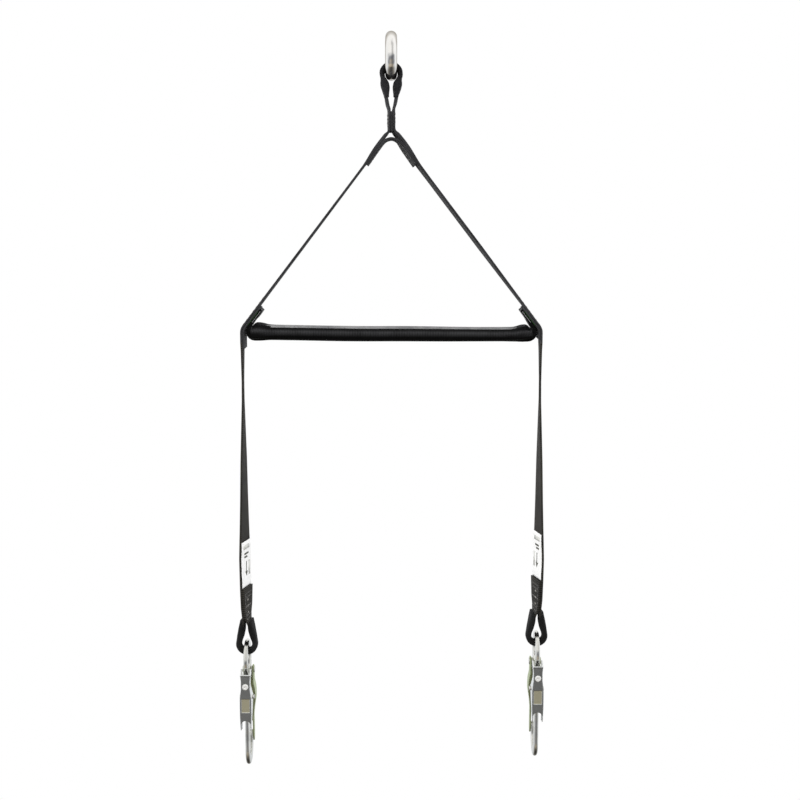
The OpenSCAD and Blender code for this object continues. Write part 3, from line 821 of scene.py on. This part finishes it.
def half_rails():
    """The right half of the cover from its middle to the tab's tip: low edge, high edge, half depth."""
    end = LEG_X - 4.9 * MM
    tab_low = BEND_START - LEG_OUT * TAB_IN
    lift = lambda rise, depth: tab_low - LEG_DOWN * rise * MM - LEG_OUT * depth * MM
    z = lambda v: BAR_Z + v * MM
    rows = [
        ((0, z(-8.2)), (0, z(8.0)), 8.2),
        ((end - 30 * MM, z(-8.2)), (end - 30 * MM, z(8.0)), 8.2),
        ((end - 22 * MM, z(-8.2)), (end - 23 * MM, z(8.4)), 8.6),
        ((end - 14 * MM, z(-8.4)), (end - 16.5 * MM, z(10.0)), 9.6),
        ((end - 8 * MM, z(-8.3)), (end - 11.5 * MM, z(10.4)), 10.4),
        ((end - 4.2 * MM, z(-7.2)), (end - 8.6 * MM, z(9.4)), 11.2),
        ((end - 1.4 * MM, z(-4.6)), (end - 6.6 * MM, z(7.6)), 12.2),
        ((end - 0.1 * MM, z(-0.6)), (end - 5.0 * MM, z(6.8)), 12.9),
        (lift(1, 0.0), lift(4.5, 4.2), 13.2),
        (lift(7, 0.0), lift(8.5, 3.9), 13.4),
        (lift(14, 0.0), lift(14.5, 3.5), 13.5),
        (lift(20, 0.0), lift(20, 3.5), 13.5),
        (lift(25.4, 0.0), lift(25.0, 3.3), 13.4),
    ]
    low = np.array([r[0] for r in rows])
    high = np.array([r[1] for r in rows])
    half = np.array([r[2] for r in rows]) * MM
    return low, high, half


def spline(values, count_each):
    """A smooth run through rows of values, with the same number of steps in each span."""
    padded = np.vstack([2 * values[0] - values[1], values, 2 * values[-1] - values[-2]])
    rows = []
    for k, count in enumerate(count_each):
        p0, p1, p2, p3 = padded[k:k + 4]
        for share in np.arange(count) / count:
            rows.append(0.5 * (2 * p1 + (p2 - p0) * share + (2 * p0 - 5 * p1 + 4 * p2 - p3) * share**2
                               + (3 * p1 - p0 - 3 * p2 + p3) * share**3))
    rows.append(values[-1])
    return np.array(rows)


# the turn round the cover at which its cloth is plain black, used for the tabs
PLAIN_TURN = 0.9 * 2 * math.pi
AROUND_COVER = 48


def sag(low, high):
    """The cover sits a little high at its left end and is a little flatter on top towards its right end."""
    on_bar = 1 - smooth_step(high[:, 1], BAR_Z + 12 * MM, BAR_Z + 18 * MM)
    lift = 1.4 * MM * smooth_step(-low[:, 0], 0.1 * LEG_X, 0.9 * LEG_X) * on_bar
    low[:, 1] += lift
    high[:, 1] += lift
    high[:, 1] -= 1.0 * MM * smooth_step(high[:, 0], 0.1 * LEG_X, 0.6 * LEG_X) * on_bar


def cover_rows():
    """Low edge, high edge and half depth of the whole cover, from the left tab's tip to the right one's."""
    low, high, half = half_rails()
    together = np.hstack([low, high, half[:, None]])
    straight_count = 60
    step = (together[1] - together[0]) / straight_count
    straight = [together[:1] + step * k for k in range(straight_count)]
    right = np.vstack(straight + [spline(together[1:], [6] * (len(together) - 2))])
    left = right[:0:-1] * np.array([-1, 1, -1, 1, 1])
    return np.vstack([left, right])


def build_cover():
    rows = cover_rows()
    low, high, half = rows[:, :2], rows[:, 2:4], rows[:, 4]
    sag(low, high)
    middle, reach = (low + high) / 2, (high - low) / 2
    along = np.r_[0, np.cumsum(np.linalg.norm(np.diff(middle, axis=0), axis=1))]
    angles = np.linspace(0, 2 * math.pi, AROUND_COVER, endpoint=False)
    flatness = smooth_step(np.abs(middle[:, 0]), 0.93 * LEG_X, 0.98 * LEG_X)
    flatness = np.maximum(flatness, smooth_step(middle[:, 1], BAR_Z + 4 * MM, BAR_Z + 9 * MM))
    near_end = smooth_step(np.abs(middle[:, 0]), 0.70 * LEG_X, 0.90 * LEG_X)
    # the section goes from a circle (power 2) on the bar to a flat tab (power 6)
    power = 2.0 + 4.0 * flatness
    verts, uvs = [], []
    for i in range(len(rows)):
        shape = lambda v: np.sign(v) * np.abs(v) ** (2 / power[i])
        up, deep = shape(np.sin(angles)), shape(np.cos(angles))
        folds = 0.5 * MM * near_end[i] * (1 - flatness[i])
        ripple = 1 + folds * np.sin(angles * 9 + 1.3 * np.sin(along[i] * 140)) / (9 * MM)
        ripple += 0.010 * np.sin(angles * 3 + along[i] * 55) * (1 - flatness[i])
        x = middle[i, 0] + reach[i, 0] * up * ripple
        z = middle[i, 1] + reach[i, 1] * up * ripple
        verts += list(np.stack([x, deep * half[i] * ripple, z], axis=1))
        turn = angles + (PLAIN_TURN - angles) * flatness[i]
        uvs += [(a * COVER_R, along[i]) for a in turn]
    faces = tube_faces(len(rows), AROUND_COVER)
    cover = add_piece("bar_cover_cloth", verts, faces, cover_cloth(), uvs)
    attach(cover, "yoke")
    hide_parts("bar_cover")
    build_top_highlight(rows)
    build_tab_edges()


def build_tab_edges():
    """The front edge of each tab shows the folded cloth inside it, and green thread runs beside the leg."""
    fold_in = TAB_IN + 1.75 * MM
    edges = (
        ("tab_fold", (23.5, 16, 9), fold_in, 27.8 * MM, 1.6 * MM, PALE_SEAM_AND_HIGHLIGHT),
        ("green_line", (22, 12, 3), TAB_IN, 27.6 * MM, 0.6 * MM, GREEN_LINE),
    )
    for name, side in SIDES.items():
        for part, rises, inwards, width, thick, material in edges:
            path = [BEND_START - LEG_DOWN * rise * MM - LEG_OUT * inwards for rise in rises]
            strip = Strip(np.array(path) * np.array([side, 1]), outward=-side)
            edge = sweep(f"{part}_{name}", strip, TUBE, width, thick, material)
            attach(edge, "yoke")


def build_top_highlight(rows):
    """A pale raised strip that runs along the top of the cover, turned a little to the front: a painted
    highlight where the light catches the top of the bar.
    """
    end_x = LEG_X - 24 * MM
    highlight_rows = rows[(np.abs(rows[:, 0]) < end_x) & (rows[:, 1] < BAR_Z)]
    ends = smooth_step(np.abs(highlight_rows[:, 0]), end_x - 10 * MM, end_x)
    angle = math.radians(118)
    out = np.array([0, math.cos(angle), math.sin(angle)])
    beside = np.array([0, -math.sin(angle), math.cos(angle)])
    half_w, thick = 2.6 * MM, 0.9 * MM
    outline = [(-1, 0.0), (-0.8, 0.8), (0, 1.0), (0.8, 0.8), (1, 0.0), (0, -0.6)]
    verts, uvs = [], []
    for (low_x, low_z, high_x, high_z, _), end in zip(highlight_rows, ends):
        middle = np.array([(low_x + high_x) / 2, 0, (low_z + high_z) / 2])
        radius = (high_z - low_z) / 2
        for u, b in outline:
            lift = radius + (0.1 - 0.5 * end) * MM + b * thick / 2 - (u * half_w) ** 2 / (2 * radius)
            verts.append(middle + out * lift + beside * u * half_w)
            uvs.append((u * half_w, low_x))
    faces = tube_faces(len(highlight_rows), len(outline))
    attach(add_piece("cover_top_highlight", verts, faces, PALE_SEAM_AND_HIGHLIGHT, uvs), "yoke")


# ---------------------------------------------------------------- hanging legs
def leg_yaw(side):
    """A hanging leg is edge-on below the bar and turns its inner face to the front down to the label."""
    # millimetres below the bar or above the hook's eye, and degrees
    below_bar = ((0, 0.0), (9, 2.0), (41, 5.0), (62, 4.5), (94, 0.0),
                 (126, -4.5), (170, -8.5), (203, -12.5), (232, -17.0))
    above_eye = ((62, -15.0), (42, -12.0), (31, -7.0), (25, -3.5), (12, -1.5), (0, 0.0))
    places = [STRAP_SEAM_Z - below * MM for below, _ in below_bar]
    places += [eye_z(side) + above * MM for above, _ in above_eye]
    turns = np.array([turn for _, turn in below_bar + above_eye])

    def yaw(points):
        return np.interp(-points[:, 2], -np.array(places), turns * side)

    return yaw


def leg_path(side):
    pivot = np.array([side * LEG_X, 0, eye_z(side)])
    loop = wrap_path(pivot, EYE_WRAP_R, FOLD_X, FOLD_MERGE, 1.0, -1)
    loop = loop if side == LEFT else loop[::-1]
    outer_x = side * (LEG_X + FOLD_X)
    inner_x = side * (LEG_X - FOLD_X)
    top = [(side * LEG_X, STRAP_SEAM_Z), (outer_x, eye_z(side) + STRAIGHT_TOP)]
    return np.vstack([top, loop, [(inner_x, eye_z(side) + TAIL_TOP)]])


def build_leg(name, side):
    strip = Strip(leg_path(side), outward=-side, yaw=leg_yaw(side))
    height = strip.c[:, 2] - eye_z(side)
    gather = 1 - smooth_step(height, 13 * MM, 33 * MM)
    width = WEB_W + (EYE_STRAP_W - WEB_W) * gather
    strap = sweep(f"hanging_strap_{name}", strip, BAND, width, PLY, WEBBING_LOW,
                  folds=0.1 * MM * gather)
    blend_at_bar(strap)
    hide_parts(f"lower_leg_{name}")
    fold = np.argmin(height)
    main = strip.part(slice(0, fold))
    tail = strip.part(slice(fold, None))
    build_loop_sleeve(name, side)
    build_fold_thread(name, side, main, tail)
    build_label(name, side, main)


def build_loop_sleeve(name, side):
    pivot = np.array([side * LEG_X, 0, eye_z(side)])
    path = wrap_path(pivot, EYE_WRAP_R, FOLD_X, FOLD_MERGE, 0.80, -1)
    path = path if side == LEFT else path[::-1]
    strip = Strip(path, outward=-side, yaw=leg_yaw(side))
    height = strip.c[:, 2] - pivot[2]
    swell = smooth_step(height, 2 * MM, 10 * MM) * (1 - smooth_step(height, 15 * MM, 25 * MM))
    thick = 6.2 * MM + 1.3 * MM * swell - 0.3 * MM * smooth_step(height, 15 * MM, 25 * MM)
    outward = 1.3 * MM - 0.3 * MM * swell + 0.2 * MM * smooth_step(height, 14 * MM, 24 * MM)
    strip.c += strip.n * outward[:, None]
    wide = EYE_SLEEVE_W + 6.2 * MM * smooth_step(height, 4 * MM, 20 * MM)
    sleeve = sweep(f"hook_loop_sleeve_{name}", strip, TUBE, wide, thick, SLEEVE_LOW,
                   cup=0.2 * MM, folds=0.15 * MM, fold_count=4.0)
    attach(sleeve, f"{name}_leg")
    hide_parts(f"loop_sleeve_{name}")


def distance_at(strip, side, height):
    """How far along the strip the place at a height above the hook's eye is."""
    heights = strip.c[:, 2] - eye_z(side)
    order = np.argsort(heights)
    return np.interp(height, heights[order], strip.s[order])


def build_fold_thread(name, side, main, tail):
    """A sewn box with three zigzag rows on either face of the fold, and pale marks on the inner one."""
    low, high = 29 * MM, 57 * MM
    row_margin = 4 * MM
    stitches = []
    for strip in (main, tail):
        s0, s1 = sorted((distance_at(strip, side, high), distance_at(strip, side, low)))
        stitches += stitched_box(strip, s0, s1, SEWN_HALF, 1, PLY / 2)
        for s in np.linspace(s0 + row_margin, s1 - row_margin, 3):
            stitches += stitches_across(strip, s, -9 * MM, 9 * MM, 1, PLY / 2, slant=0.9 * MM, gap=0.3 * MM)
    thread = stitch_run(f"fold_thread_{name}", stitches, THREAD)
    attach(thread, f"{name}_leg")
    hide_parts(f"fold_stitching_{name}")
    marks = []
    for height in (36 * MM, 43 * MM, 50 * MM):
        s = distance_at(tail, side, height)
        marks += stitches_across(tail, s, -4 * MM, 1 * MM, 1, PLY / 2 + 0.1 * MM,
                                 slant=0.9 * MM, gap=0.3 * MM)
    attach(stitch_run(f"fold_marks_{name}", marks, PALE_THREAD), f"{name}_leg")


def build_label(name, side, main):
    height = main.c[:, 2] - eye_z(side)
    keep = (height > LABEL_FOOT) & (height < LABEL_FOOT + LABEL_H)
    strip = main.part(keep, -(PLY / 2 + 0.35 * MM))
    ripple = 0.25 * MM * np.sin(strip.s / (9 * MM)) + 0.15 * MM * np.sin(strip.s / (4 * MM))
    strip.c -= strip.n * np.abs(ripple)[:, None]
    label = sweep(f"label_patch_{name}", strip, BAND, LABEL_W, LABEL_T, LABEL)
    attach(label, f"{name}_leg")
    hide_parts(f"label_{name}")
    build_print(name, strip)


def build_print(name, strip):
    """Plain printed marks: an arrow that points down, two bars and two faint boxes."""
    shapes = {
        "arrow": (PRINT, [
            [(-0.9, 22), (0.9, 22), (0.9, 33), (-0.9, 33)],
            [(-3.2, 33), (3.2, 33), (0, 38.5)],
        ]),
        "bars": (PRINT, [
            [(-5.5, 12.5), (5.5, 12.5), (5.5, 14.5), (-5.5, 14.5)],
            [(-5.5, 16), (2.5, 16), (2.5, 18), (-5.5, 18)],
        ]),
        "boxes": (FAINT_PRINT, [
            [(-8.5, 4), (8.5, 4), (8.5, 8.5), (-8.5, 8.5)],
            [(5.5, 22), (9.5, 22), (9.5, 38), (5.5, 38)],
        ]),
    }
    # the print's two faces lie just off the label's visible face
    under, over = -0.26 * MM, -0.34 * MM
    for part, (material, outlines) in shapes.items():
        verts, faces = [], []
        for outline in outlines:
            base = len(verts)
            count = len(outline)
            for lift in (under, over):
                verts += [strip.point(y * MM, x * MM, lift) for x, y in outline]
            faces.append(tuple(base + k for k in range(count)))
            faces.append(tuple(base + count + k for k in reversed(range(count))))
            for k in range(count):
                j = (k + 1) % count
                faces.append((base + k, base + count + k, base + count + j, base + j))
        piece = add_piece(f"label_{part}_{name}", verts, faces, material)
        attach(piece, f"{name}_leg")


# ---------------------------------------------------------------- metal
def paint_metal():
    finishes = {
        "lifting_ring": RING_STEEL,
        "spreader_tube": TUBE_METAL,
        "tube_end_plugs": PLUG,
    }
    for name in SIDES:
        finishes[f"hook_body_{name}"] = HOOK_ZINC
        finishes[f"gate_{name}"] = GATE_OLIVE_REFLECTION
        finishes[f"gate_rivet_{name}"] = HOOK_ZINC
        finishes[f"lock_lever_{name}"] = lever_zinc(name)
        finishes[f"lever_rivet_{name}"] = RIVET_HEAD
        for part in ("gate_spring", "lock_spring", "lock_pin"):
            finishes[f"{part}_{name}"] = PIN_STEEL
    for node, material in finishes.items():
        mesh = frame["nodes"][node].data
        mesh.materials.clear()
        mesh.materials.append(material)


# ---------------------------------------------------------------- stage
def white_for_camera(tree, surface, output, white):
    """The camera sees plain white; the object is lit by what the surface really is."""
    mix = tree.nodes.new("ShaderNodeMixShader")
    path = tree.nodes.new("ShaderNodeLightPath")
    tree.links.new(path.outputs["Is Camera Ray"], mix.inputs[0])
    tree.links.new(surface, mix.inputs[1])
    tree.links.new(white, mix.inputs[2])
    tree.links.new(mix.outputs[0], output)


def build_world():
    """Light from a room in front, with a dimmer strip to the right, and from a pale backdrop behind."""
    world = bpy.data.worlds.new("studio")
    bpy.context.scene.world = world
    world.use_nodes = True
    tree = world.node_tree
    tree.nodes.clear()
    output = tree.nodes.new("ShaderNodeOutputWorld").inputs["Surface"]
    x, y, z = separated(tree, tree.nodes.new("ShaderNodeTexCoord").outputs["Generated"])
    height = math_node(tree, "ADD", math_node(tree, "MULTIPLY", z, 0.5), 0.5)
    room = ramp(tree, height, [
        (0.00, (0.02, 0.02, 0.025)),
        (0.06, (0.05, 0.045, 0.04)),
        (0.12, (0.42, 0.36, 0.28)),
        (0.22, (0.52, 0.46, 0.37)),
        (0.32, (0.25, 0.26, 0.29)),
        (0.40, (0.34, 0.35, 0.38)),
        (0.47, (0.60, 0.61, 0.63)),
        (0.54, grey(1.0)),
        (1.00, grey(1.0)),
    ])
    backdrop = ramp(tree, height, [
        (0.00, grey(0.03)),
        (0.12, (0.20, 0.19, 0.17)),
        (0.28, (0.72, 0.74, 0.76)),
        (0.40, (0.95, 0.97, 1.0)),
        (1.00, grey(1.0)),
    ])
    across = math_node(tree, "ADD", math_node(tree, "MULTIPLY", x, 0.5), 0.5)
    shares = ((0.0, 1.0), (0.38, 1.0), (0.50, 0.90), (0.64, 0.55), (0.76, 0.60), (0.88, 1.0))
    dim_strip = ramp(tree, across, [(place, grey(share)) for place, share in shares])
    room = mixed(tree, dim_strip, grey(0.0), room)
    to_front = math_node(tree, "MULTIPLY", y, -1.0)
    front = tree.nodes.new("ShaderNodeMapRange")
    front.interpolation_type = "SMOOTHSTEP"
    front.inputs["From Min"].default_value = 0.15
    front.inputs["From Max"].default_value = 0.65
    tree.links.new(to_front, front.inputs["Value"])
    light = tree.nodes.new("ShaderNodeBackground")
    tree.links.new(mixed(tree, front.outputs["Result"], backdrop, room), light.inputs["Color"])
    light.inputs["Strength"].default_value = 1.0
    white = tree.nodes.new("ShaderNodeBackground")
    white.inputs["Color"].default_value = (1, 1, 1, 1)
    white_for_camera(tree, light.outputs[0], output, white.outputs[0])


def build_floor(low_z):
    """A white floor that the camera sees and that neither lights the object nor shows in its metal."""
    half = 3.0
    verts = [(-half, -half, low_z), (half, -half, low_z), (half, half, low_z), (-half, half, low_z)]
    mesh = bpy.data.meshes.new("floor")
    mesh.from_pydata(verts, [], [(0, 1, 2, 3)])
    material = bpy.data.materials.new("floor")
    material.use_nodes = True
    tree = material.node_tree
    white = tree.nodes.new("ShaderNodeEmission")
    tree.links.new(white.outputs[0], tree.nodes["Material Output"].inputs["Surface"])
    mesh.materials.append(material)
    floor = bpy.data.objects.new("floor", mesh)
    floor.visible_diffuse = False
    floor.visible_glossy = False
    bpy.context.scene.collection.objects.link(floor)


def add_softbox(name, at, target, size, power):
    data = bpy.data.lights.new(name, "AREA")
    data.shape = "RECTANGLE"
    data.size, data.size_y = size
    data.energy = power
    lamp = bpy.data.objects.new(name, data)
    lamp.location = at
    lamp.rotation_mode = "QUATERNION"
    lamp.rotation_quaternion = (Vector(target) - Vector(at)).to_track_quat("-Z", "Y")
    lamp.visible_glossy = False
    bpy.context.scene.collection.objects.link(lamp)


def build_camera():
    """In front of the object, above its middle and a little to its right, looking slightly down."""
    data = bpy.data.cameras.new("camera")
    camera = bpy.data.objects.new("camera", data)
    distance = 1.45
    view_width = 0.848
    pitch = math.radians(7.7)
    target = Vector((9 * MM, 0, -356 * MM))
    data.sensor_width = 36
    data.lens = data.sensor_width * distance / view_width
    camera.location = target + distance * Vector((0, -math.cos(pitch), math.sin(pitch)))
    camera.rotation_euler = (math.pi / 2 - pitch, 0, 0)
    bpy.context.scene.collection.objects.link(camera)
    bpy.context.scene.camera = camera
    bpy.context.scene.view_settings.view_transform = "Standard"


def main():
    build_top_loop()
    upper_strips = []
    for name, side in SIDES.items():
        upper_strips.append(build_upper_leg(name, side))
        build_doubler(name, side)
        build_leg(name, side)
    build_crotch_strap()
    build_bend_thread(upper_strips)
    build_cover()
    paint_metal()
    build_world()
    build_floor(low_z=CAD_BOUNDS[0].z - 60 * MM)
    add_softbox("key", at=(-0.9, -1.5, 0.7), target=(0, 0, -0.4), size=(1.2, 1.2), power=24)
    add_softbox("fill", at=(1.1, -1.3, 0.1), target=(0, 0, -0.4), size=(0.9, 1.4), power=13)
    build_camera()


main()
